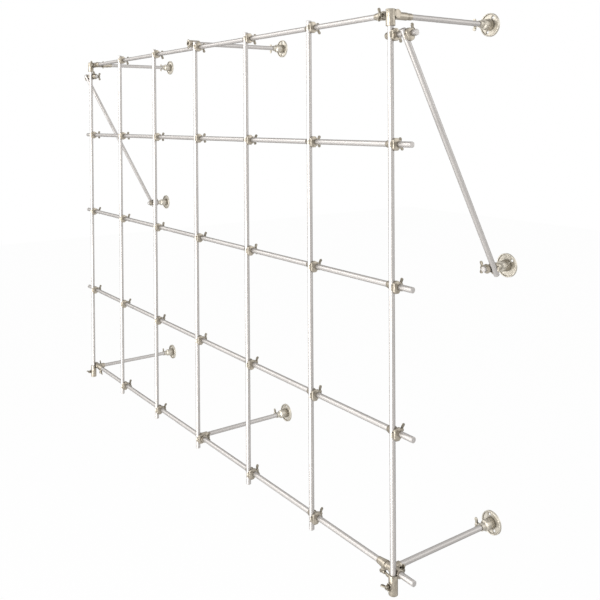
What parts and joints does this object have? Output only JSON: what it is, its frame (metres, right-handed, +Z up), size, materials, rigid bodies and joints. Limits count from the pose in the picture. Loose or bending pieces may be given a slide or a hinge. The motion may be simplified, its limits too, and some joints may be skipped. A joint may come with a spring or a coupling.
{
  "type": "lab lattice frame",
  "caption": "Wall-mounted laboratory lattice frame of half-inch metal rods with cast hook clamps, thumb screws, corner castings, braces and round wall feet.",
  "frame": {"origin": "centre of the lower left wall foot, on its wall face", "axes": "+X along the rails, +Y into the wall, +Z up along the uprights"},
  "size_m": [1.8439, 0.3591, 1.2574],
  "materials": {
    "rod_metal": "bright drawn, satin",
    "clamp_casting": "warm cast, lightly tumbled",
    "screw_casting": "warm cast",
    "foot_casting": "warm cast, satin"
  },
  "bodies": {
    "root": {"brace_foot_clamp_left": "clamp_casting", "brace_foot_clamp_right": "clamp_casting", "brace_foot_stub_left": "rod_metal", "brace_foot_stub_right": "rod_metal", "brace_head_clamp_left": "clamp_casting", "brace_head_clamp_right": "clamp_casting", "brace_head_stub_left": "rod_metal", "brace_head_stub_right": "rod_metal", "brace_left": "rod_metal", "brace_right": "rod_metal", "brace_upright_clamp_left": "clamp_casting", "brace_upright_clamp_right": "clamp_casting", "corner_casting_lower_left": "clamp_casting", "corner_casting_lower_right": "clamp_casting", "corner_casting_upper_left": "clamp_casting", "corner_casting_upper_right": "clamp_casting", "hook_clamps_row_1": "clamp_casting", "hook_clamps_row_2": "clamp_casting", "hook_clamps_row_3": "clamp_casting", "hook_clamps_row_4": "clamp_casting", "hook_clamps_row_5": "clamp_casting", "middle_casting_lower": "clamp_casting", "middle_casting_upper": "clamp_casting", "rail_1": "rod_metal", "rail_2": "rod_metal", "rail_3": "rod_metal", "rail_4": "rod_metal", "rail_5": "rod_metal", "stand_off_lower_left": "rod_metal", "stand_off_lower_middle": "rod_metal", "stand_off_lower_right": "rod_metal", "stand_off_upper_left": "rod_metal", "stand_off_upper_middle": "rod_metal", "stand_off_upper_right": "rod_metal", "thumb_screws_braces": "screw_casting", "thumb_screws_corners": "screw_casting", "thumb_screws_middle": "screw_casting", "thumb_screws_row_1": "screw_casting", "thumb_screws_row_2": "screw_casting", "thumb_screws_row_3": "screw_casting", "thumb_screws_row_4": "screw_casting", "thumb_screws_row_5": "screw_casting", "thumb_screws_wall_feet": "screw_casting", "upright_1": "rod_metal", "upright_2": "rod_metal", "upright_3": "rod_metal", "upright_4": "rod_metal", "upright_5": "rod_metal", "upright_6": "rod_metal", "upright_7": "rod_metal", "wall_foot_brace_left": "foot_casting", "wall_foot_brace_right": "foot_casting", "wall_foot_lower_left": "foot_casting", "wall_foot_lower_middle": "foot_casting", "wall_foot_lower_right": "foot_casting", "wall_foot_upper_left": "foot_casting", "wall_foot_upper_middle": "foot_casting", "wall_foot_upper_right": "foot_casting"}
  },
  "joints": []
}
